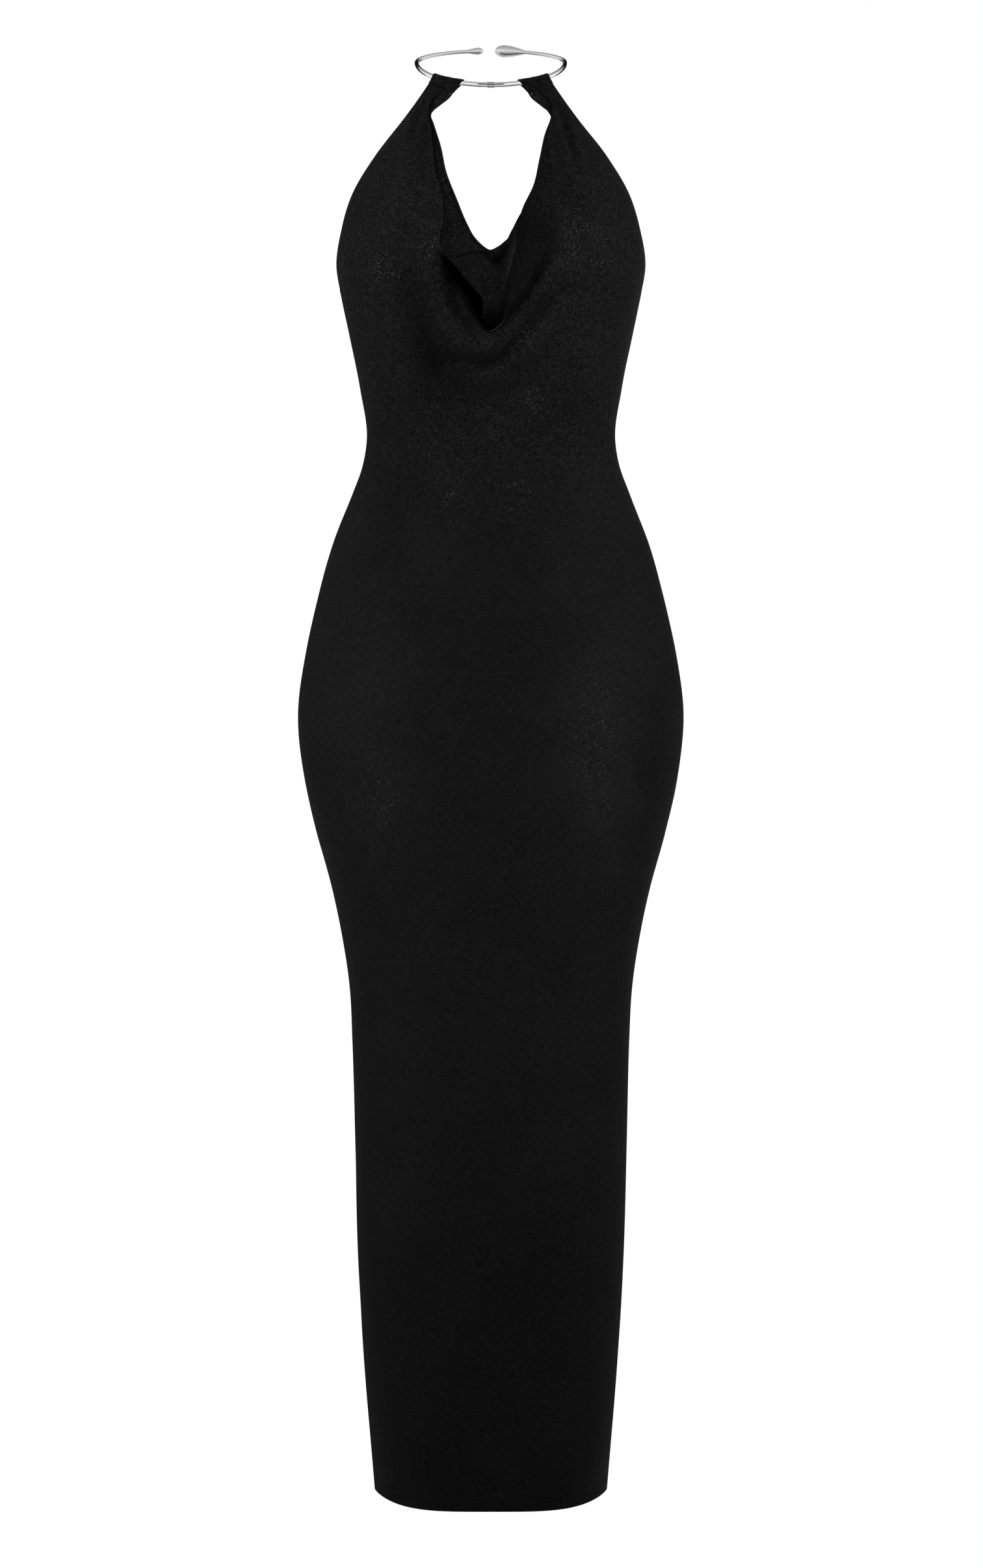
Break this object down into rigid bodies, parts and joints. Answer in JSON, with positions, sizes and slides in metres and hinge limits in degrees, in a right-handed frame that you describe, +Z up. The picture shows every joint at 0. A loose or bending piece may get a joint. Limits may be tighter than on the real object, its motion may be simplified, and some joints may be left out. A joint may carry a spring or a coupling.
{
  "type": "maxi dress",
  "caption": "Long close-fitting sleeveless dress in fine jersey, with a draped cowl neckline and a low back, hung from an open metal neck ring with a blunt drop on each end.",
  "frame": {"origin": "the middle of the neck ring at its widest, on the axis of the wearer's neck", "axes": "+Z up along the dress, -Y out of its front, +X towards the side on the right in a front view"},
  "size_m": [0.3782, 0.2536, 1.4284],
  "materials": {
    "jersey": "fine matte knit",
    "polished_steel": "polished"
  },
  "bodies": {
    "root": {"front": "jersey", "back": "jersey", "cowl_facing": "jersey", "casing_left": "jersey", "casing_right": "jersey", "ring_left": "polished_steel", "ring_right": "polished_steel", "ring_collar": "polished_steel"}
  },
  "joints": []
}
